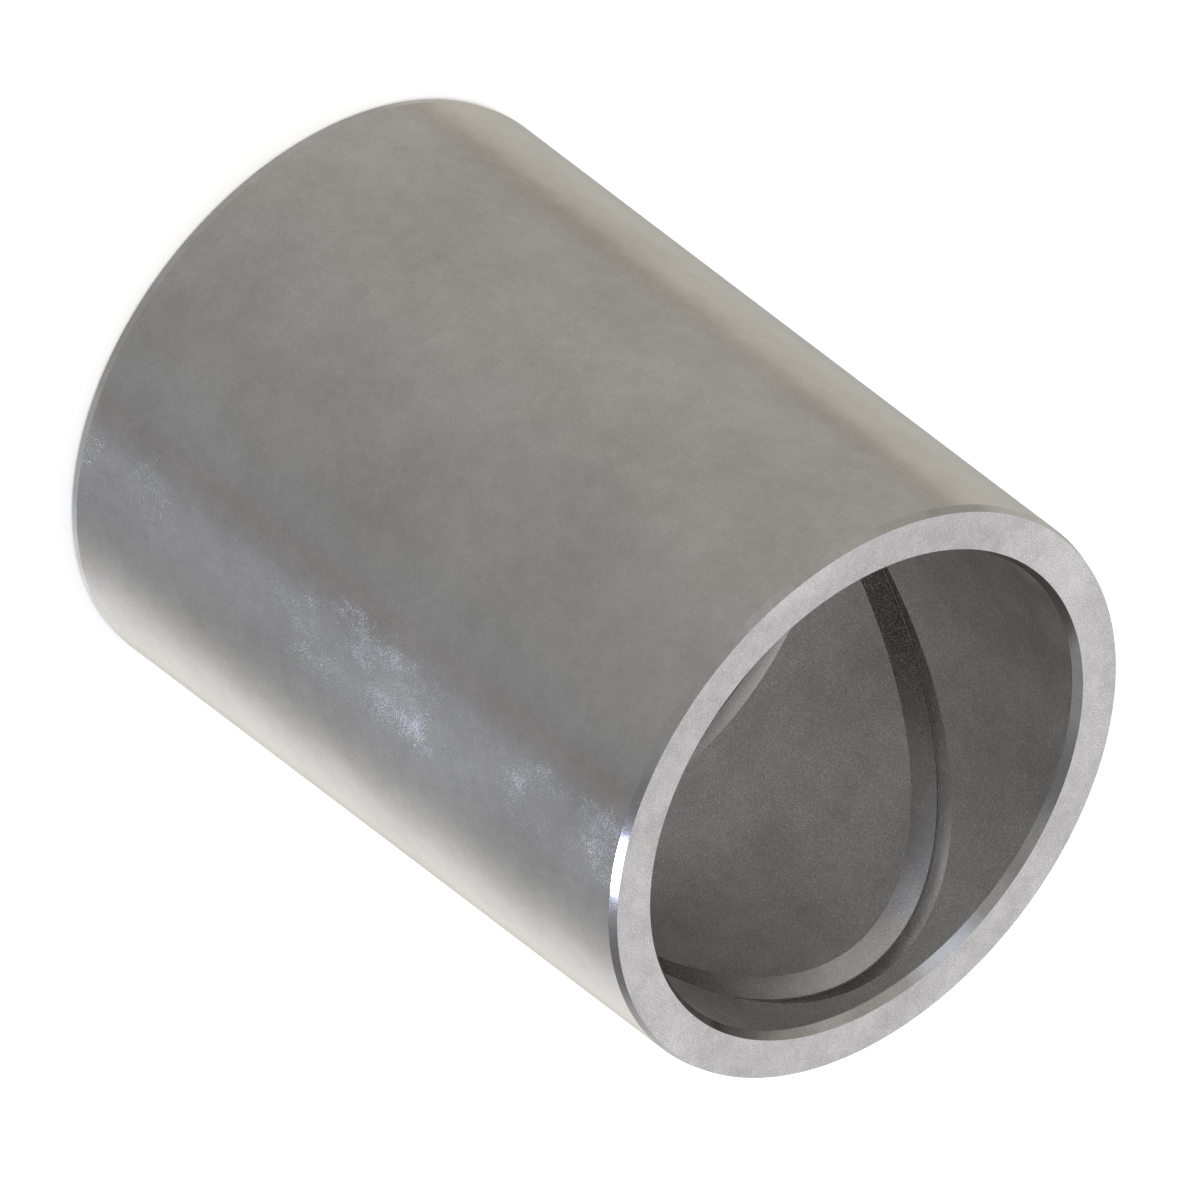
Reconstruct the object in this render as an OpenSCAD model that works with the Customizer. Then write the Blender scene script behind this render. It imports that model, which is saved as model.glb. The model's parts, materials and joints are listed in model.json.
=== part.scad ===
// Boom bushing: a one-piece turned steel sleeve for a pivot pin.
// Both ends are chamfered outside, for pressing in, and inside, for the pin.
// The bore carries two V-shaped grease grooves of one depth: a ring at
// mid-length and a slanted loop that runs from end to end and crosses it.
// It stands on its lower end face, with the bore upright on Z.

/* [Sleeve] */
// Diameter of the bore
bore_diameter = 80; // [60:1:110]
// Thickness of the wall between the bore and the outside
wall_thickness = 7.5; // [5:0.5:15]
// Length between the two end faces
sleeve_length = 125; // [80:1:200]

/* [Chamfers] */
// Length along the sleeve of the outside chamfer at each end
press_chamfer_length = 1.5; // [0.5:0.1:4]
// Slope of the outside chamfer from the sleeve's axis, in degrees
press_chamfer_angle = 15; // [5:1:40]
// Length along the sleeve of the bore's chamfer at each end
bore_chamfer_length = 1.5; // [0.5:0.1:3]
// Slope of the bore's chamfer from the sleeve's axis, in degrees
bore_chamfer_angle = 30; // [10:1:45]

/* [Grease grooves] */
// Depth of both grooves below the bore
groove_depth = 1.8; // [0.8:0.1:3]
// Width of the ring groove where it meets the bore
ring_groove_width = 8.5; // [4:0.5:14]
// Width of the loop groove where it meets the bore, square to its run
loop_groove_width = 7.4; // [4:0.1:10]
// Distance from each end face to the nearest point of the loop's centreline
loop_end_margin = 8.2; // [8:0.1:30]

/* [Hidden] */

// Facets of a full turn, for the preview
$fn = 180;
// Sections along one turn of the loop groove
loop_sections = 120;

bore_radius = bore_diameter / 2;
outer_radius = bore_radius + wall_thickness;
mid_height = sleeve_length / 2;
// Rise of the loop's centreline above and below mid-length
loop_rise = mid_height - loop_end_margin;
// How far the loop's cutter reaches inside the bore, so that it cuts clear of the surface
cutter_overlap = groove_depth / 2;

// How far a chamfer reaches across the end face
function chamfer_reach(length, angle) = length * tan(angle);

// Height of the loop's centreline at a turn angle
function loop_height(turn) = mid_height + loop_rise * cos(turn);

// Slope of the loop's centreline on the unrolled bore at a turn angle
function loop_slope(turn) = atan2(-loop_rise * sin(turn), bore_radius);

// A point of the loop's cutter: across is measured on the bore, square to the run
function loop_point(turn, across, depth) =
    let (slope = loop_slope(turn))
    let (around = turn - (across * sin(slope) / bore_radius) * 180 / PI)
    let (radius = bore_radius + depth)
    [radius * cos(around), radius * sin(around), loop_height(turn) + across * cos(slope)];

// One V section of the cutter: its bottom, then its two sides inside the bore
function loop_section(turn) =
    let (half_width = loop_groove_width / 2 * (1 + cutter_overlap / groove_depth))
    [
        loop_point(turn, 0, groove_depth),
        loop_point(turn, half_width, -cutter_overlap),
        loop_point(turn, -half_width, -cutter_overlap)
    ];

// The sleeve's wall, cut along its axis: outside, both ends, bore and ring groove
module wall_section() {
    press_reach = chamfer_reach(press_chamfer_length, press_chamfer_angle);
    bore_reach = chamfer_reach(bore_chamfer_length, bore_chamfer_angle);
    polygon([
        [bore_radius + bore_reach, 0],
        [outer_radius - press_reach, 0],
        [outer_radius, press_chamfer_length],
        [outer_radius, sleeve_length - press_chamfer_length],
        [outer_radius - press_reach, sleeve_length],
        [bore_radius + bore_reach, sleeve_length],
        [bore_radius, sleeve_length - bore_chamfer_length],
        [bore_radius, mid_height + ring_groove_width / 2],
        [bore_radius + groove_depth, mid_height],
        [bore_radius, mid_height - ring_groove_width / 2],
        [bore_radius, bore_chamfer_length]
    ]);
}

// The cutter of the loop groove: a V swept once round the bore, closed on itself
module loop_cutter() {
    corners = len(loop_section(0));
    points = [
        for (i = [0 : loop_sections - 1])
            each loop_section(360 * i / loop_sections)
    ];
    function corner_index(section, corner) =
        (section % loop_sections) * corners + corner % corners;
    faces = [
        for (i = [0 : loop_sections - 1])
            for (c = [0 : corners - 1])
                each [
                    [corner_index(i, c), corner_index(i, c + 1), corner_index(i + 1, c + 1)],
                    [corner_index(i, c), corner_index(i + 1, c + 1), corner_index(i + 1, c)]
                ]
    ];
    polyhedron(points, faces);
}

// The bushing: the turned sleeve with the loop groove cut into its bore
module sleeve() {
    color("#8c8c88")
    difference() {
        rotate_extrude() wall_section();
        loop_cutter();
    }
}

sleeve();
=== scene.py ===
"""Boom bushing: the visual model of a turned steel sleeve with grease grooves in its bore.

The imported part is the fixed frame. The sleeve is modelled again here with a fine surface and broken
edges, takes five steel finishes, and stands on a pale floor in soft studio light.
"""

import json
import math

import bpy
from bpy.props import FloatProperty, FloatVectorProperty, IntProperty, PointerProperty
from mathutils import Matrix, Vector


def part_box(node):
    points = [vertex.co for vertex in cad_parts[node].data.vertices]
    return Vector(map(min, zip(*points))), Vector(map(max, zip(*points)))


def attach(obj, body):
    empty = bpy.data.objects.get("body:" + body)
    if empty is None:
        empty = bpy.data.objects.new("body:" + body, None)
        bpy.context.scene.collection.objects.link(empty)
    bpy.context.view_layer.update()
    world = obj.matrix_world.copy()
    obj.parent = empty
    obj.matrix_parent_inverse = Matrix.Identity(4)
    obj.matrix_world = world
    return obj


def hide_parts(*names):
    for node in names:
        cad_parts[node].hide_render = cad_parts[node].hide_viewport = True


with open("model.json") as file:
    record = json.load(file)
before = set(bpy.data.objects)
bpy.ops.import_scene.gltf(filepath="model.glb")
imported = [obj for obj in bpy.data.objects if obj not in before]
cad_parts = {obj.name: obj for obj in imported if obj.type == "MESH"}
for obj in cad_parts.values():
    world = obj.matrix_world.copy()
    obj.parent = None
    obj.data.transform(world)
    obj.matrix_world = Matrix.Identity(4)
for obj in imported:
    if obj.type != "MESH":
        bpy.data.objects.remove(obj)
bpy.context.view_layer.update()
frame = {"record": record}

bl_info = {
    "name": "Boom Bushing",
    "version": (1, 0, 0),
    "blender": (4, 5, 0),
    "location": "View3D > Sidebar > Bushing",
    "description": "Models a grooved steel boom bushing and its studio",
    "category": "Add Mesh",
}

MM = 0.001
CAD_NODE = "sleeve"
CAD_BODY = "root"

# Points closer than NEAR count as one place, and points closer than WELD are merged
NEAR = 0.001 * MM
WELD = 0.0001 * MM
# Steps across the small rounds, and rows of faces on the loop groove's flanks
EDGE_STEPS = 3
ROOT_STEPS = 4
FLANK_CUTS = 6
# Edges that turn by less are shaded smooth, and large flat faces pull the normals towards their own
SMOOTH_ANGLE = math.radians(20)
FLAT_PULL = 50

MOUNTS = {mount["name"]: mount for mount in frame["record"]["mounts"]}
BORE_DIAMETER = 2 * MOUNTS["bore"]["dims"]["r_mm"] * MM
OUTER_DIAMETER = 2 * MOUNTS["press_seat"]["dims"]["r_mm"] * MM
SLEEVE_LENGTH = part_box(CAD_NODE)[1].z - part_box(CAD_NODE)[0].z
BORE_CHAMFER_LENGTH = (SLEEVE_LENGTH - MOUNTS["bore"]["dims"]["length_mm"] * MM) / 2
PRESS_CHAMFER_LENGTH = (SLEEVE_LENGTH - MOUNTS["press_seat"]["dims"]["length_mm"] * MM) / 2


def linear(hex_colour):
    """An sRGB hex colour as linear red, green, blue and alpha."""
    values = [int(hex_colour[i:i + 2], 16) / 255 for i in (1, 3, 5)]
    return [v / 12.92 if v <= 0.04045 else ((v + 0.055) / 1.055) ** 2.4 for v in values] + [1.0]


def heading(azimuth, elevation):
    """The unit vector that points to an azimuth from +X and an elevation, both in degrees."""
    a, e = math.radians(azimuth), math.radians(elevation)
    return Vector((math.cos(a) * math.cos(e), math.sin(a) * math.cos(e), math.sin(e)))


class SleeveSizes(bpy.types.PropertyGroup):
    """Sizes of the bushing"""

    bore_diameter: FloatProperty(
        name="Bore", description="Diameter of the bore",
        default=BORE_DIAMETER, unit="LENGTH")
    outer_diameter: FloatProperty(
        name="Outside", description="Diameter of the outside",
        default=OUTER_DIAMETER, unit="LENGTH")
    length: FloatProperty(
        name="Length", description="Length between the end faces",
        default=SLEEVE_LENGTH, unit="LENGTH")
    press_chamfer_length: FloatProperty(
        name="Outside chamfer", description="Length of the outside chamfer along the sleeve",
        default=PRESS_CHAMFER_LENGTH, unit="LENGTH")
    press_chamfer_angle: FloatProperty(
        name="Outside chamfer angle", description="Slope of the outside chamfer from the axis",
        default=math.radians(15), subtype="ANGLE")
    bore_chamfer_length: FloatProperty(
        name="Bore chamfer", description="Length of the bore's chamfer along the sleeve",
        default=BORE_CHAMFER_LENGTH, unit="LENGTH")
    bore_chamfer_angle: FloatProperty(
        name="Bore chamfer angle", description="Slope of the bore's chamfer from the axis",
        default=math.radians(30), subtype="ANGLE")
    groove_depth: FloatProperty(
        name="Groove depth", description="Depth of both grease grooves",
        default=1.8 * MM, unit="LENGTH")
    ring_groove_width: FloatProperty(
        name="Ring groove", description="Width of the ring groove at the bore",
        default=8.5 * MM, unit="LENGTH")
    loop_groove_width: FloatProperty(
        name="Loop groove", description="Width of the loop groove, square to its run",
        default=7.4 * MM, unit="LENGTH")
    loop_end_margin: FloatProperty(
        name="Loop margin", description="Distance from an end face to the loop's centreline",
        default=8.2 * MM, unit="LENGTH")
    edge_round: FloatProperty(
        name="Broken edges", description="Width of the small rounds on the turned edges",
        default=0.04 * MM, unit="LENGTH")
    root_round: FloatProperty(
        name="Groove root", description="Width of the round that the tool's nose leaves in a groove",
        default=0.15 * MM, unit="LENGTH")
    turn_steps: IntProperty(
        name="Steps", description="Facets of one full turn", default=576)


class SteelColours(bpy.types.PropertyGroup):
    """Colours of the steel's finishes"""

    ground: FloatVectorProperty(
        name="Outside", description="Colour of the ground outside",
        default=linear("#c3c3c1")[:3], subtype="COLOR", size=3, min=0, max=1)
    faced: FloatVectorProperty(
        name="End faces", description="Colour of the faced ends",
        default=linear("#c6c5c5")[:3], subtype="COLOR", size=3, min=0, max=1)
    turned: FloatVectorProperty(
        name="Chamfers", description="Colour of the turned chamfers",
        default=linear("#c3c3c1")[:3], subtype="COLOR", size=3, min=0, max=1)
    honed: FloatVectorProperty(
        name="Bore", description="Colour of the honed bore",
        default=linear("#d2d1d0")[:3], subtype="COLOR", size=3, min=0, max=1)
    milled: FloatVectorProperty(
        name="Grooves", description="Colour of the milled grooves",
        default=linear("#d2d1d0")[:3], subtype="COLOR", size=3, min=0, max=1)


class StudioSetup(bpy.types.PropertyGroup):
    """Camera and floor"""

    view_azimuth: FloatProperty(
        name="Azimuth", description="Heading of the camera, 0 looks along +Y",
        default=math.radians(-58.84), subtype="ANGLE")
    view_elevation: FloatProperty(
        name="Elevation", description="Height of the camera above the horizon",
        default=math.radians(37.14), subtype="ANGLE")
    view_roll: FloatProperty(
        name="Roll", description="Turn of the camera about its line of sight",
        default=math.radians(127.14), subtype="ANGLE")
    floor_colour: FloatVectorProperty(
        name="Floor", description="Colour of the floor",
        default=linear("#f4f4f2")[:3], subtype="COLOR", size=3, min=0, max=1)


def add_node(tree, kind, settings=None, values=None, links=None):
    """Adds a node, sets its properties and its sockets, and links sockets to others' outputs."""
    node = tree.nodes.new(kind)
    for name, value in (settings or {}).items():
        setattr(node, name, value)
    for socket, value in (values or {}).items():
        node.inputs[socket].default_value = value
    for socket, output in (links or {}).items():
        tree.links.new(output, node.inputs[socket])
    return node


def nearing(tree, direction, target, reach, results=(0, 1)):
    """A value that goes from the first result to the second as a direction nears a target.

    reach holds the angles from the target, in degrees, at which the change starts and ends.
    """
    nearness = add_node(tree, "ShaderNodeVectorMath", {"operation": "DOT_PRODUCT"},
                        {1: target}, {0: direction})
    starts, ends = (math.cos(math.radians(angle)) for angle in reach)
    change = add_node(tree, "ShaderNodeMapRange", {"interpolation_type": "SMOOTHSTEP"},
                      {"From Min": starts, "From Max": ends, "To Min": results[0], "To Max": results[1]},
                      {"Value": nearness.outputs["Value"]})
    return change.outputs["Result"]


# What a place is multiplied by to leave out its height
LEVEL = (1, 1, 0)


def level_heading(tree, place):
    """The direction from the sleeve's axis to a place, with its height left out."""
    level = add_node(tree, "ShaderNodeVectorMath", {"operation": "MULTIPLY"}, {1: LEVEL}, {0: place})
    towards = add_node(tree, "ShaderNodeVectorMath", {"operation": "NORMALIZE"}, {},
                       {0: level.outputs["Vector"]})
    return towards.outputs["Vector"]


# What oil and handling leave on steel: a faint brown
STAIN = "#d6c5b2"
# Noises of the finishes: broad clouds, stains, shallow ripples and a fine grain
CLOUD_NOISE = {"Detail": 8, "Roughness": 0.88}
STAIN_NOISE = {"W": 3, "Detail": 6, "Roughness": 0.75}
RIPPLE_NOISE = {"Detail": 2, "Roughness": 0.4}
GRAIN_NOISE = {"Detail": 1, "Roughness": 0.6}
# Middle of a noise's colour, to both sides of which it varies
NOISE_MIDDLE = (0.5, 0.5, 0.5)
# The span of each noise over which it goes from nothing to its full effect
CLOUD_SPAN = {"From Min": 0.35, "From Max": 0.65}
STAIN_SPAN = {"From Min": 0.42, "From Max": 0.7}
GLINT_SPAN = {"From Min": 0.38, "From Max": 0.85}
# How much more the brightest points of the grain gain than its darkest lose
GLINT_GAIN = 3


def steel(name, colour, clouds, mottle, stain, roughness, ripple, grain):
    """A steel finish: clouded colour and roughness, faint brown stains, shallow ripples and a fine grain.

    clouds is the size of the broadest clouds, mottle how far they lighten and darken the steel and
    stain how brown it turns in places. ripple is a size and a depth. grain is a size, a depth and how
    much its brightest points outshine the rest. Sizes and depths are in metres.
    """
    material = bpy.data.materials.new(name)
    material.use_nodes = True
    tree = material.node_tree
    shader = tree.nodes["Principled BSDF"]
    place = add_node(tree, "ShaderNodeTexCoord").outputs["Object"]
    cloud = add_node(tree, "ShaderNodeTexNoise", {}, {"Scale": 1 / clouds, **CLOUD_NOISE}, {"Vector": place})
    share = add_node(tree, "ShaderNodeMapRange", {}, CLOUD_SPAN, {"Value": cloud.outputs["Fac"]})
    tint = add_node(tree, "ShaderNodeMix", {"data_type": "RGBA"},
                    {"A": [c * (1 - mottle) for c in colour] + [1],
                     "B": [c * (1 + mottle) for c in colour] + [1]},
                    {"Factor": share.outputs["Result"]})
    stains = add_node(tree, "ShaderNodeTexNoise", {"noise_dimensions": "4D"},
                      {"Scale": 1 / clouds, **STAIN_NOISE}, {"Vector": place})
    brown = add_node(tree, "ShaderNodeMapRange", {}, {"To Max": stain, **STAIN_SPAN},
                     {"Value": stains.outputs["Fac"]})
    hue = add_node(tree, "ShaderNodeMix", {"data_type": "RGBA", "blend_type": "MULTIPLY"},
                   {"B": linear(STAIN)}, {"Factor": brown.outputs["Result"], "A": tint.outputs["Result"]})
    grain_size, grain_depth, sparkle = grain
    specks = add_node(tree, "ShaderNodeTexNoise", {}, {"Scale": 1 / grain_size, **GRAIN_NOISE},
                      {"Vector": place})
    glints = add_node(tree, "ShaderNodeMapRange", {"interpolation_type": "SMOOTHSTEP"},
                      {"To Min": 1 - sparkle, "To Max": 1 + GLINT_GAIN * sparkle, **GLINT_SPAN},
                      {"Value": specks.outputs["Fac"]})
    speckled = add_node(tree, "ShaderNodeVectorMath", {"operation": "SCALE"}, {},
                        {"Vector": hue.outputs["Result"], "Scale": glints.outputs["Result"]})
    gloss = add_node(tree, "ShaderNodeMapRange", {},
                     {"To Min": roughness[0], "To Max": roughness[1]}, {"Value": share.outputs["Result"]})
    ripple_size, ripple_depth = ripple
    waves = add_node(tree, "ShaderNodeTexNoise", {}, {"Scale": 1 / ripple_size, **RIPPLE_NOISE},
                     {"Vector": place})
    wave_bump = add_node(tree, "ShaderNodeBump", {}, {"Distance": ripple_depth},
                         {"Height": waves.outputs["Fac"]})
    speck_bump = add_node(tree, "ShaderNodeBump", {}, {"Distance": grain_depth},
                          {"Height": specks.outputs["Fac"], "Normal": wave_bump.outputs["Normal"]})
    shader.inputs["Metallic"].default_value = 1
    tree.links.new(speckled.outputs["Vector"], shader.inputs["Base Color"])
    tree.links.new(gloss.outputs["Result"], shader.inputs["Roughness"])
    tree.links.new(speck_bump.outputs["Normal"], shader.inputs["Normal"])
    return material


# How worn the outside is along the sleeve: shares of its length, with the wear at each
SCUFF_BANDS = ((0.0, 0.8), (0.13, 0.72), (0.2, 0.6), (0.35, 0.62), (0.42, 0.92), (0.63, 0.98),
               (0.67, 0.75), (0.73, 0.7), (0.82, 0.84), (0.98, 0.88))
# The side that is worn: its heading, and the angles from it at which the wear ends and is full
SCUFF_AZIMUTH = 250
SCUFF_REACH = (15, 4)
# Patches are drawn out along the sleeve, and the worn place's edges wander with them
SCUFF_PATCH = 6 * MM
SCUFF_STRETCH = (1, 1, 0.55)
SCUFF_WANDER = 9 * MM
SCUFF_NOISE = {"Detail": 6, "Roughness": 0.7}
# Wear at the emptiest place of a patch, and what its fullest place adds
SCUFF_LEAST = 0.08
SCUFF_MORE = 0.86
# Struck specks, drawn coarser than real ones so that they show, and how rough they are
SCUFF_SPECK = 0.19 * MM
SCUFF_SPAN = {"From Min": 1.02, "From Max": 1.15}
SCUFF_ROUGHNESS = 0.3


def scuff(material, length):
    """Adds handling scuffs to a steel: patches of rough specks that glitter, in bands along the sleeve."""
    tree = material.node_tree
    shader = tree.nodes["Principled BSDF"]
    smooth = shader.inputs["Roughness"].links[0].from_socket
    place = add_node(tree, "ShaderNodeTexCoord").outputs["Object"]
    drawn_out = add_node(tree, "ShaderNodeVectorMath", {"operation": "MULTIPLY"}, {1: SCUFF_STRETCH},
                         {0: place})
    patches = add_node(tree, "ShaderNodeTexNoise", {}, {"Scale": 1 / SCUFF_PATCH, **SCUFF_NOISE},
                       {"Vector": drawn_out.outputs["Vector"]})
    offset = add_node(tree, "ShaderNodeVectorMath", {"operation": "SUBTRACT"}, {1: NOISE_MIDDLE},
                      {0: patches.outputs["Color"]})
    wander = add_node(tree, "ShaderNodeVectorMath", {"operation": "MULTIPLY_ADD"},
                      {1: (SCUFF_WANDER * 2,) * 3}, {0: offset.outputs["Vector"], 2: place})
    axes = add_node(tree, "ShaderNodeSeparateXYZ", {}, {}, {"Vector": wander.outputs["Vector"]})
    along = add_node(tree, "ShaderNodeMapRange", {}, {"From Max": length}, {"Value": axes.outputs["Z"]})
    bands = add_node(tree, "ShaderNodeValToRGB", {}, {}, {"Fac": along.outputs["Result"]})
    ramp = bands.color_ramp.elements
    for position, _ in SCUFF_BANDS[len(ramp):]:
        ramp.new(position)
    for element, (position, wear) in zip(ramp, SCUFF_BANDS):
        element.position = position
        element.color = (wear, wear, wear, 1)
    towards = level_heading(tree, wander.outputs["Vector"])
    facing = nearing(tree, towards, heading(SCUFF_AZIMUTH, 0), SCUFF_REACH)
    reach = add_node(tree, "ShaderNodeMath", {"operation": "MULTIPLY"}, {},
                     {0: facing, 1: bands.outputs["Color"]})
    density = add_node(tree, "ShaderNodeMath", {"operation": "MULTIPLY_ADD"},
                       {1: SCUFF_MORE, 2: SCUFF_LEAST}, {0: patches.outputs["Fac"]})
    specks = add_node(tree, "ShaderNodeTexNoise", {}, {"Scale": 1 / SCUFF_SPECK, **GRAIN_NOISE},
                      {"Vector": place})
    # The more a place is worn, the more of its specks are struck rough
    struck = add_node(tree, "ShaderNodeMath", {"operation": "MULTIPLY_ADD"}, {},
                      {0: density.outputs["Value"], 1: reach.outputs["Value"], 2: specks.outputs["Fac"]})
    dots = add_node(tree, "ShaderNodeMapRange", {"interpolation_type": "SMOOTHSTEP"},
                    {"To Max": SCUFF_ROUGHNESS, **SCUFF_SPAN}, {"Value": struck.outputs["Value"]})
    rough = add_node(tree, "ShaderNodeMath", {"operation": "ADD"}, {},
                     {0: dots.outputs["Result"], 1: smooth})
    tree.links.new(rough.outputs["Value"], shader.inputs["Roughness"])


# Painted shade along the grooves' crease: how far above the bottom it starts and is full, and what it leaves
# of the colour
CREASE_SHADE_SPAN = (0.13 * MM, 0.06 * MM)
CREASE_SHADE_LEFT = 0.08
# Painted shade on the flanks: which way the flank faces, up or down, the shade's heading, the angles from
# that at which it ends and is full, and what it leaves of the colour
FLANK_SHADES = ((1, 190, 160, 126, 0.3), (-1, 7, 26, 4, 0.55))
# Gaps in the painted flank shade, where the bare steel glitters, drawn coarser than real specks so that they
# show
SHADE_GAP_SPECK = 0.18 * MM
SHADE_GAP_SPAN = {"From Min": 0.5, "From Max": 0.66}


def paint_groove_shade(material, radius):
    """Paints shade into a steel: a dark line at the grooves' bottom, at this radius, and dark patches on
    their flanks.
    """
    tree = material.node_tree
    shader = tree.nodes["Principled BSDF"]
    colour = shader.inputs["Base Color"].links[0].from_socket
    place = add_node(tree, "ShaderNodeTexCoord")
    across = add_node(tree, "ShaderNodeVectorMath", {"operation": "MULTIPLY"}, {1: LEVEL},
                      {0: place.outputs["Object"]})
    reach = add_node(tree, "ShaderNodeVectorMath", {"operation": "LENGTH"}, {}, {0: across.outputs["Vector"]})
    starts, full = CREASE_SHADE_SPAN
    # The dark line at the crease is painted shade
    line = add_node(tree, "ShaderNodeMapRange", {"interpolation_type": "SMOOTHSTEP"},
                    {"From Min": radius - starts, "From Max": radius - full,
                     "To Min": 1, "To Max": CREASE_SHADE_LEFT}, {"Value": reach.outputs["Value"]})
    towards = level_heading(tree, place.outputs["Object"])
    specks = add_node(tree, "ShaderNodeTexNoise", {}, {"Scale": 1 / SHADE_GAP_SPECK, **GRAIN_NOISE},
                      {"Vector": place.outputs["Object"]})
    closed = add_node(tree, "ShaderNodeMapRange", {"interpolation_type": "SMOOTHSTEP"},
                      {"To Min": 1, "To Max": 0, **SHADE_GAP_SPAN}, {"Value": specks.outputs["Fac"]})
    leans = add_node(tree, "ShaderNodeSeparateXYZ", {}, {}, {"Vector": place.outputs["Normal"]})
    shade = line.outputs["Result"]
    # Each flank patch is painted shade, left open at bare specks
    for up, azimuth, ends, whole, left in FLANK_SHADES:
        faces = add_node(tree, "ShaderNodeMath", {"operation": "MULTIPLY"}, {1: up}, {0: leans.outputs["Z"]})
        flank = add_node(tree, "ShaderNodeMath", {"operation": "GREATER_THAN"}, {1: 0},
                         {0: faces.outputs["Value"]})
        shaded_flank = add_node(tree, "ShaderNodeMath", {"operation": "MULTIPLY"}, {},
                           {0: flank.outputs["Value"], 1: closed.outputs["Result"]})
        shade_depth = nearing(tree, towards, heading(azimuth, 0), (ends, whole), (0, left - 1))
        flank_shade = add_node(tree, "ShaderNodeMath", {"operation": "MULTIPLY_ADD"}, {2: 1},
                        {0: shade_depth, 1: shaded_flank.outputs["Value"]})
        shade = add_node(tree, "ShaderNodeMath", {"operation": "MULTIPLY"}, {},
                         {0: shade, 1: flank_shade.outputs["Value"]}).outputs["Value"]
    painted_shade = add_node(tree, "ShaderNodeVectorMath", {"operation": "SCALE"}, {},
                       {"Vector": colour, "Scale": shade})
    tree.links.new(painted_shade.outputs["Vector"], shader.inputs["Base Color"])


# The side of the bore with painted light: its heading, the angles from it at which the light ends and
# is full, and how much lighter the steel is there
BORE_LIGHT_AZIMUTH = 81
BORE_LIGHT_REACH = (26, 8)
BORE_LIGHT_GAIN = 1.26


def paint_bore_light(material):
    """Paints light into a steel along one side, lightening its colour there."""
    tree = material.node_tree
    shader = tree.nodes["Principled BSDF"]
    colour = shader.inputs["Base Color"].links[0].from_socket
    place = add_node(tree, "ShaderNodeTexCoord").outputs["Object"]
    towards = level_heading(tree, place)
    # This gain is painted light
    gain = nearing(tree, towards, heading(BORE_LIGHT_AZIMUTH, 0), BORE_LIGHT_REACH, (1, BORE_LIGHT_GAIN))
    painted_light = add_node(tree, "ShaderNodeVectorMath", {"operation": "SCALE"}, {},
                      {"Vector": colour, "Scale": gain})
    tree.links.new(painted_light.outputs["Vector"], shader.inputs["Base Color"])


def finishes(colours, sizes):
    """The sleeve's five finishes, in the order of its material slots.

    Each grain is drawn coarser than the real one, so that it shows.
    """
    # Hardened steel, ground round on its outside: a satin mirror that blurs the studio, faintly clouded
    # and stained, with handling scuffs that glitter
    ground = steel("ground_steel", colours.ground, clouds=40 * MM, mottle=0.13, stain=0.15,
                   roughness=(0.165, 0.19), ripple=(12 * MM, 0.015 * MM), grain=(0.3 * MM, 0.0003 * MM, 0.03))
    scuff(ground, sizes.length)
    # Steel faced across its end by a lathe tool: pale and dull, with cloudy marks and a fine sparkle
    faced = steel("faced_steel", colours.faced, clouds=25 * MM, mottle=0.24, stain=0.12,
                  roughness=(0.27, 0.33), ripple=(5 * MM, 0.01 * MM), grain=(0.2 * MM, 0.0003 * MM, 0.16))
    # Steel turned to a chamfer by a sharp lathe tool: narrow bands that mirror the studio clearly
    turned = steel("turned_steel", colours.turned, clouds=20 * MM, mottle=0.15, stain=0.1,
                   roughness=(0.13, 0.18), ripple=(6 * MM, 0.01 * MM), grain=(0.3 * MM, 0.0003 * MM, 0.03))
    # Steel honed in the bore with stones: matt grey, with soft gradients and a fine sparkle, and painted
    # light along one side
    honed = steel("honed_steel", colours.honed, clouds=60 * MM, mottle=0.2, stain=0.14,
                  roughness=(0.46, 0.52), ripple=(8 * MM, 0.03 * MM), grain=(0.12 * MM, 0.001 * MM, 0.27))
    paint_bore_light(honed)
    # Steel cut to a V by a form tool: smoother than the bore, so that its flanks stand out light and
    # dark, with painted shade along the grooves' bottom and on their flanks
    milled = steel("milled_steel", colours.milled, clouds=15 * MM, mottle=0.1, stain=0.05,
                   roughness=(0.23, 0.29), ripple=(5 * MM, 0.01 * MM), grain=(0.2 * MM, 0.006 * MM, 0.1))
    paint_groove_shade(milled, sizes.bore_diameter / 2 + sizes.groove_depth)
    return ground, faced, turned, honed, milled


GROUND, FACED, TURNED, HONED, MILLED = range(5)
# A face this square to the axis is an end face, and one this square to the radius is the bore's
SQUARE_TO_AXIS = 0.98
SQUARE_TO_RADIUS = 0.99


def finish_of(face, sizes):
    """Which finish a face of the sleeve takes, by its place and normal."""
    place, normal = face.center, face.normal
    radius = place.xy.length
    outwards = normal.xy.dot(place.xy) / radius
    if abs(normal.z) > SQUARE_TO_AXIS:
        return FACED
    if min(place.z, sizes.length - place.z) < max(sizes.press_chamfer_length, sizes.bore_chamfer_length):
        return TURNED
    if outwards > 0:
        return GROUND
    return HONED if outwards < -SQUARE_TO_RADIUS else MILLED


def edit_all():
    """Opens the active object's mesh with everything selected."""
    bpy.ops.object.mode_set(mode="EDIT")
    bpy.ops.mesh.select_all(action="SELECT")


def select_vertices(mesh_object, wanted):
    """Selects the vertices, in edit mode, for which wanted is true."""
    bpy.ops.mesh.select_mode(type="VERT")
    bpy.ops.mesh.select_all(action="DESELECT")
    bpy.ops.object.mode_set(mode="OBJECT")
    for vertex in mesh_object.data.vertices:
        vertex.select = wanted(vertex.co)
    bpy.ops.object.mode_set(mode="EDIT")


def select_edges(mesh_object, wanted):
    """Selects the edges, in edit mode, for whose two ends wanted is true."""
    bpy.ops.mesh.select_mode(type="EDGE")
    bpy.ops.mesh.select_all(action="DESELECT")
    bpy.ops.object.mode_set(mode="OBJECT")
    mesh = mesh_object.data
    for edge in mesh.edges:
        edge.select = wanted(*(mesh.vertices[end].co for end in edge.vertices))
    bpy.ops.object.mode_set(mode="EDIT")


def new_piece(name):
    """Names the primitive that was just added."""
    piece = bpy.context.active_object
    piece.name = name
    piece.data.name = name
    return piece


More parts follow.
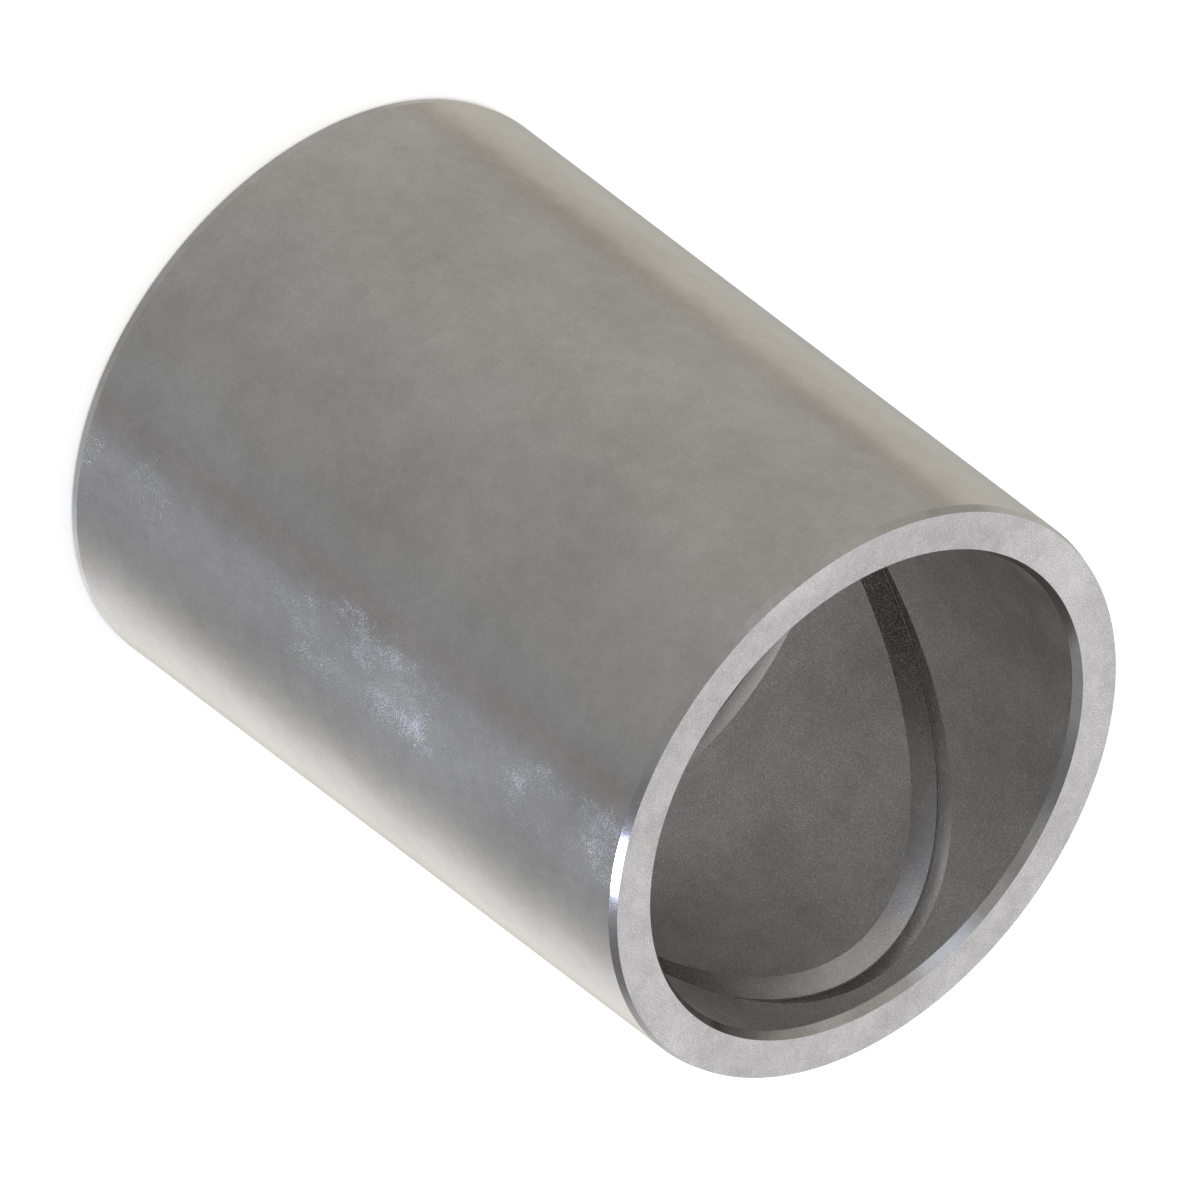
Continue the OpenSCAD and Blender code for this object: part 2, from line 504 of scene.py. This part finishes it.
def wall_section(sizes):
    """The sleeve's wall cut along its axis, in the XZ plane, as a closed outline."""
    bore, outside = sizes.bore_diameter / 2, sizes.outer_diameter / 2
    top, middle = sizes.length, sizes.length / 2
    bpy.ops.object.select_all(action="DESELECT")
    bpy.ops.mesh.primitive_plane_add(size=1)
    section = new_piece("bushing")
    edit_all()
    bpy.ops.transform.rotate(value=math.radians(90), orient_axis="X", center_override=(0, 0, 0))
    bpy.ops.transform.resize(value=(outside - bore, 1, top), center_override=(0, 0, 0))
    bpy.ops.transform.translate(value=((outside + bore) / 2, 0, middle))
    # Each corner is cut off by a plane through the chamfer
    cuts = (
        (outside, 1, sizes.press_chamfer_length, sizes.press_chamfer_angle),
        (bore, -1, sizes.bore_chamfer_length, sizes.bore_chamfer_angle),
    )
    for radius, side, length, angle in cuts:
        for height, up in ((length, -1), (top - length, 1)):
            bpy.ops.mesh.select_all(action="SELECT")
            bpy.ops.mesh.bisect(
                plane_co=(radius, 0, height),
                plane_no=(side * math.cos(angle), 0, up * math.sin(angle)),
                clear_outer=True)
    # The bore's edge takes three more points, and the middle one goes down to the groove's bottom
    select_vertices(section, lambda co: abs(co.x - bore) < NEAR)
    bpy.ops.mesh.select_mode(type="EDGE")
    half = sizes.ring_groove_width / 2
    targets = ((-1, 0, middle - half), (0, sizes.groove_depth, middle), (1, 0, middle + half))
    bpy.ops.mesh.subdivide(number_cuts=len(targets))
    spacing = (top - 2 * sizes.bore_chamfer_length) / (len(targets) + 1)
    for step, depth, height in targets:
        start = middle + step * spacing
        select_vertices(section, lambda co: abs(co.x - bore) < NEAR and abs(co.z - start) < NEAR)
        bpy.ops.transform.translate(value=(depth, 0, height - start))
    # Every corner is broken, and the groove's bottom takes the round of the tool's nose
    bottom = Vector((bore + sizes.groove_depth, 0, middle))
    select_vertices(section, lambda co: (co - bottom).length > NEAR)
    bpy.ops.mesh.bevel(offset=sizes.edge_round, segments=EDGE_STEPS, affect="VERTICES")
    select_vertices(section, lambda co: (co - bottom).length < NEAR)
    bpy.ops.mesh.bevel(offset=sizes.root_round, segments=ROOT_STEPS, affect="VERTICES")
    bpy.ops.mesh.select_all(action="SELECT")
    bpy.ops.mesh.delete(type="ONLY_FACE")
    bpy.ops.object.mode_set(mode="OBJECT")
    return section


def turn_on_axis(section, steps):
    """Spins the wall's outline once round the bore's axis."""
    edit_all()
    bpy.ops.mesh.spin(steps=steps, angle=math.tau, center=(0, 0, 0), axis=(0, 0, 1))
    bpy.ops.mesh.select_all(action="SELECT")
    bpy.ops.mesh.remove_doubles(threshold=WELD)
    bpy.ops.mesh.normals_make_consistent(inside=False)
    bpy.ops.object.mode_set(mode="OBJECT")


def loop_cutter(sizes):
    """A V-section ring that follows one slanted wave round the bore."""
    radius = sizes.bore_diameter / 2
    rise = sizes.length / 2 - sizes.loop_end_margin
    overlap = sizes.groove_depth / 2
    reach = sizes.loop_groove_width / 2 * (1 + overlap / sizes.groove_depth)
    bpy.ops.object.select_all(action="DESELECT")
    bpy.ops.mesh.primitive_torus_add(
        major_segments=sizes.turn_steps, minor_segments=3,
        major_radius=radius, minor_radius=sizes.groove_depth)
    cutter = new_piece("loop_cutter")
    for vertex in cutter.data.vertices:
        turn = math.atan2(vertex.co.y, vertex.co.x)
        bottom = vertex.co.xy.length > radius
        depth = sizes.groove_depth if bottom else -overlap
        across = 0 if bottom else math.copysign(reach, vertex.co.z)
        slope = math.atan2(-rise * math.sin(turn), radius)
        around = turn - across * math.sin(slope) / radius
        height = sizes.length / 2 + rise * math.cos(turn) + across * math.cos(slope)
        vertex.co = Vector((
            (radius + depth) * math.cos(around), (radius + depth) * math.sin(around), height))
    # The bottom takes the nose's round, and the twisted flanks rows of small faces that shade evenly
    bpy.ops.object.mode_set(mode="EDIT")
    root = radius + sizes.groove_depth - NEAR
    select_edges(cutter, lambda a, b: min(a.xy.length, b.xy.length) > root)
    bpy.ops.mesh.bevel(offset=sizes.root_round, segments=ROOT_STEPS, affect="EDGES")
    select_edges(cutter, lambda a, b: abs(a.xy.length - b.xy.length) > overlap)
    bpy.ops.mesh.subdivide(number_cuts=FLANK_CUTS)
    bpy.ops.mesh.select_all(action="SELECT")
    bpy.ops.mesh.quads_convert_to_tris()
    bpy.ops.mesh.normals_make_consistent(inside=False)
    bpy.ops.object.mode_set(mode="OBJECT")
    return cutter


def apply_modifier(piece, name, kind, **settings):
    """Adds a modifier to a piece and applies it."""
    bpy.ops.object.select_all(action="DESELECT")
    bpy.context.view_layer.objects.active = piece
    piece.select_set(True)
    modifier = piece.modifiers.new(name, kind)
    for setting, value in settings.items():
        setattr(modifier, setting, value)
    bpy.ops.object.modifier_apply(modifier=name)


class BUSHING_OT_sleeve(bpy.types.Operator):
    """Turns the sleeve, cuts its loop groove and gives it its finishes"""

    bl_idname = "bushing.sleeve"
    bl_label = "Turn Sleeve"

    def execute(self, context):
        sizes = context.scene.bushing_sizes
        sleeve = wall_section(sizes)
        turn_on_axis(sleeve, sizes.turn_steps)
        turned_faces = len(sleeve.data.polygons)
        cutter = loop_cutter(sizes)
        apply_modifier(sleeve, "loop groove", "BOOLEAN",
                       operation="DIFFERENCE", solver="EXACT", object=cutter)
        bpy.data.objects.remove(cutter)
        if len(sleeve.data.polygons) <= turned_faces:
            raise RuntimeError("The loop groove wasn't cut into the bore")
        # The cut leaves a few points all but on each other
        edit_all()
        bpy.ops.mesh.remove_doubles(threshold=NEAR)
        bpy.ops.object.mode_set(mode="OBJECT")
        for material in finishes(context.scene.bushing_colours, sizes):
            sleeve.data.materials.append(material)
        for face in sleeve.data.polygons:
            face.material_index = finish_of(face, sizes)
        bpy.ops.object.select_all(action="DESELECT")
        sleeve.select_set(True)
        context.view_layer.objects.active = sleeve
        bpy.ops.object.shade_smooth_by_angle(angle=SMOOTH_ANGLE)
        apply_modifier(sleeve, "flat faces", "WEIGHTED_NORMAL", weight=FLAT_PULL,
                       mode="FACE_AREA_WITH_ANGLE", keep_sharp=True)
        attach(sleeve, CAD_BODY)
        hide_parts(CAD_NODE)
        return {"FINISHED"}


# Picture of the photograph: its side in pixels, its scale, and where the upper end's centre lies
PICTURE_SIDE = 1200
PIXELS_PER_MM = 6.8608
UPPER_END_PIXEL = (866.67, 794.99)
# The camera is parallel, so this only keeps it clear of the sleeve
CAMERA_DISTANCE = 600 * MM


def add_camera(studio, length):
    """A parallel camera at the photograph's angle and scale."""
    a, e, roll = studio.view_azimuth, studio.view_elevation, studio.view_roll
    back = Vector((math.sin(a) * math.cos(e), -math.cos(a) * math.cos(e), math.sin(e)))
    level = Vector((math.cos(a), math.sin(a), 0))
    upright = back.cross(level)
    right = level * math.cos(roll) + upright * math.sin(roll)
    up = upright * math.cos(roll) - level * math.sin(roll)
    pixel = MM / PIXELS_PER_MM
    centre = Vector((0, 0, length))
    centre -= right * (UPPER_END_PIXEL[0] - PICTURE_SIDE / 2) * pixel
    centre += up * (UPPER_END_PIXEL[1] - PICTURE_SIDE / 2) * pixel
    data = bpy.data.cameras.new("camera")
    data.type = "ORTHO"
    data.ortho_scale = PICTURE_SIDE * pixel
    camera = bpy.data.objects.new("camera", data)
    bpy.context.scene.collection.objects.link(camera)
    turn = Matrix((right, up, back)).transposed().to_4x4()
    camera.matrix_world = Matrix.Translation(centre + back * CAMERA_DISTANCE) @ turn
    bpy.context.scene.camera = camera


# Grey studio walls, cool on one side and warm on the other, with the heading of the warm side
COOL_WALL = "#a2a2a5"
WARM_WALL = "#c6c3bd"
WARM_AZIMUTH = 110
WALL_SPAN = {"From Min": -0.8, "From Max": 0.8}
# Soft panels round the sleeve: how each one mixes, its azimuth, elevation, inner and outer radius in
# degrees, its colour and its strength
PANELS = (
    ("MULTIPLY", 320, -20, 9, 19, "#b8b8b8", 1),
    ("MULTIPLY", 262, 9, 6, 26, "#cbcbcc", 1),
    ("MULTIPLY", 267, -37, 1, 8, "#f6f2ee", 1),
    ("MULTIPLY", 94, -37, 1, 7, "#f4efea", 1),
    ("MULTIPLY", 104, -19.5, 8, 17, "#e6e4e2", 1),
    ("MULTIPLY", 109, 3, 3, 16, "#e2e2e1", 1),
    ("MULTIPLY", 143, 14, 4, 12, "#e6e6e6", 1),
    ("MULTIPLY", 222, 23, 2, 9, "#efefef", 1),
    ("ADD", 69, -36, 4, 19, "#605e4f", 1),
    ("ADD", 79, -37, 2, 9, "#381000", 1),
    ("ADD", 16, -37, 3, 14, "#504519", 1),
    ("ADD", 318, -37, 20, 46, "#484848", 1),
    ("ADD", 288, -37, 2, 13, "#303032", 1),
    ("ADD", 358, -58, 0, 38, "#b4b3b1", 1),
    ("ADD", 357, -46, 2, 20, "#848382", 1),
    ("ADD", 0, -90, 8, 34, "#44403f", 1),
    ("ADD", 31, 70, 20, 60, "#c6c5cb", 1),
    ("ADD", 184, -8, 2, 13, "#4c5058", 1),
    ("ADD", 183, 16, 6, 20, "#acb6cc", 1),
    ("ADD", 82, -24, 3, 11, "#403c38", 1),
    ("MULTIPLY", 340, -51, 2, 11, "#d4d6da", 1),
    ("MULTIPLY", 3, -47, 2, 9, "#dcdcdd", 1),
    ("MULTIPLY", 315, -57, 2, 12, "#e6e6e8", 1),
    ("MULTIPLY", 130, -14, 3, 11, "#eeeeed", 1),
    ("ADD", 282.5, -12.5, 7, 9, "#d2dbff", 24),
)


def soft_world():
    """The studio's soft surroundings, drawn by direction: grey walls, pale panels and one key light."""
    world = bpy.data.worlds.new("studio")
    bpy.context.scene.world = world
    world.use_nodes = True
    tree = world.node_tree
    background = tree.nodes["Background"]
    direction = add_node(tree, "ShaderNodeTexCoord").outputs["Generated"]
    warm_side = add_node(tree, "ShaderNodeVectorMath", {"operation": "DOT_PRODUCT"},
                         {1: heading(WARM_AZIMUTH, 0)}, {0: direction})
    share = add_node(tree, "ShaderNodeMapRange", {}, WALL_SPAN, {"Value": warm_side.outputs["Value"]})
    walls = add_node(tree, "ShaderNodeMix", {"data_type": "RGBA"},
                     {"A": linear(COOL_WALL), "B": linear(WARM_WALL)},
                     {"Factor": share.outputs["Result"]})
    light = walls.outputs["Result"]
    for blend, azimuth, elevation, inner, outer, colour, strength in PANELS:
        amount = nearing(tree, direction, heading(azimuth, elevation), (outer, inner))
        panel = add_node(tree, "ShaderNodeMix", {"data_type": "RGBA", "blend_type": blend},
                         {"B": [c * strength for c in linear(colour)]},
                         {"A": light, "Factor": amount})
        light = panel.outputs["Result"]
    tree.links.new(light, background.inputs["Color"])


FLOOR_SIDE = 6
PAPER_ROUGHNESS = 0.9
PAPER_GLOW = 0.2
WHITE = (1, 1, 1, 1)
# The soft box over the sleeve that lights the floor: side and height in metres, power in watts
BOX_SIDE = 1.2
BOX_HEIGHT = 1.4
BOX_POWER = 18


def add_floor(studio):
    """A wide pale floor that the steel doesn't mirror, so that it shows the studio alone."""
    bpy.ops.object.select_all(action="DESELECT")
    bpy.ops.mesh.primitive_plane_add(size=FLOOR_SIDE)
    floor = new_piece("floor")
    # Matt white seamless paper, a little overexposed by its own glow
    material = bpy.data.materials.new("seamless_paper")
    material.use_nodes = True
    shader = material.node_tree.nodes["Principled BSDF"]
    shader.inputs["Base Color"].default_value = (*studio.floor_colour, 1)
    shader.inputs["Roughness"].default_value = PAPER_ROUGHNESS
    shader.inputs["Emission Color"].default_value = WHITE
    shader.inputs["Emission Strength"].default_value = PAPER_GLOW
    floor.data.materials.append(material)
    floor.visible_glossy = False
    floor.visible_shadow = False


class BUSHING_OT_stage(bpy.types.Operator):
    """Sets up the floor, the soft studio light and the camera"""

    bl_idname = "bushing.stage"
    bl_label = "Set Stage"

    def execute(self, context):
        studio = context.scene.bushing_studio
        add_floor(studio)
        soft_world()
        data = bpy.data.lights.new("overhead_box", "AREA")
        data.size = BOX_SIDE
        data.energy = BOX_POWER
        box = bpy.data.objects.new("overhead_box", data)
        box.location = (0, 0, BOX_HEIGHT)
        box.visible_glossy = False
        context.scene.collection.objects.link(box)
        add_camera(studio, context.scene.bushing_sizes.length)
        context.scene.view_settings.view_transform = "Standard"
        return {"FINISHED"}


class BUSHING_PT_panel(bpy.types.Panel):
    """Lists the bushing's pieces and its stage"""

    bl_idname = "BUSHING_PT_panel"
    bl_label = "Boom Bushing"
    bl_space_type = "VIEW_3D"
    bl_region_type = "UI"
    bl_category = "Bushing"

    def draw(self, context):
        scene = context.scene
        for group in (scene.bushing_sizes, scene.bushing_colours, scene.bushing_studio):
            column = self.layout.column()
            for name in group.__annotations__:
                column.prop(group, name)
        for operator in (BUSHING_OT_sleeve, BUSHING_OT_stage):
            self.layout.operator(operator.bl_idname)


CLASSES = (SleeveSizes, SteelColours, StudioSetup, BUSHING_OT_sleeve, BUSHING_OT_stage, BUSHING_PT_panel)


def register():
    """Adds the classes and the scene's settings."""
    for cls in CLASSES:
        bpy.utils.register_class(cls)
    bpy.types.Scene.bushing_sizes = PointerProperty(type=SleeveSizes)
    bpy.types.Scene.bushing_colours = PointerProperty(type=SteelColours)
    bpy.types.Scene.bushing_studio = PointerProperty(type=StudioSetup)


def unregister():
    """Takes them away again, the other way round."""
    del bpy.types.Scene.bushing_studio
    del bpy.types.Scene.bushing_colours
    del bpy.types.Scene.bushing_sizes
    for cls in reversed(CLASSES):
        bpy.utils.unregister_class(cls)


def main():
    """Makes the bushing and its stage."""
    register()
    bpy.ops.bushing.sleeve()
    bpy.ops.bushing.stage()


if __name__ == "__main__":
    main()
